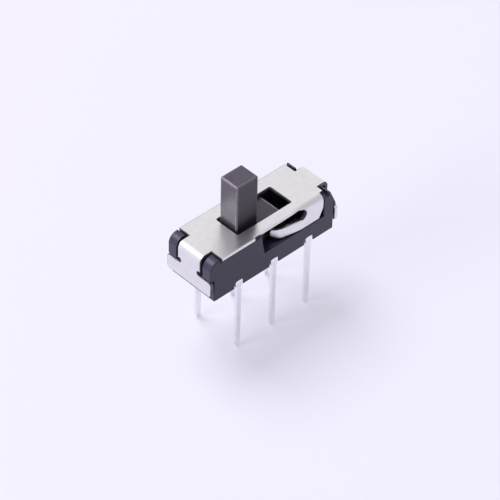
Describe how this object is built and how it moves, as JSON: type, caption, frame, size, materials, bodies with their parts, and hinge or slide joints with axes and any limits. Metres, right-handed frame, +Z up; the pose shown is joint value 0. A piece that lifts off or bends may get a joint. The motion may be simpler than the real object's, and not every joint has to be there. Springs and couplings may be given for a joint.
{
  "type": "slide switch",
  "caption": "Miniature board-mounted slide switch: moulded housing under a plated sheet cover with a detent spring arm, a square lever that slides along it, and rows of solder pins.",
  "frame": {"origin": "on the seating face, at the centre of the pins", "axes": "+X along the lever's travel, away from its rest end; +Y across the switch, away from the spring arm; +Z up towards the lever"},
  "size_m": [0.009, 0.0032, 0.0099],
  "materials": {
    "housing": "moulded, fine satin",
    "cover": "nickel plated, satin",
    "slider": "moulded, fine satin",
    "terminal": "tinned",
    "contact": "bright spring strip"
  },
  "bodies": {
    "base": {"housing": "housing", "cover": "cover", "terminal_front_left": "terminal", "terminal_front_centre": "terminal", "terminal_front_right": "terminal", "terminal_back_left": "terminal", "terminal_back_centre": "terminal", "terminal_back_right": "terminal"},
    "slider": {"slider": "slider", "contact_clip_front": "contact", "contact_clip_back": "contact"}
  },
  "joints": [
    {"name": "lever_slide", "type": "slide", "parent": "base", "child": "slider", "axis": [1, 0, 0], "range_m": [0, 0.002]}
  ]
}
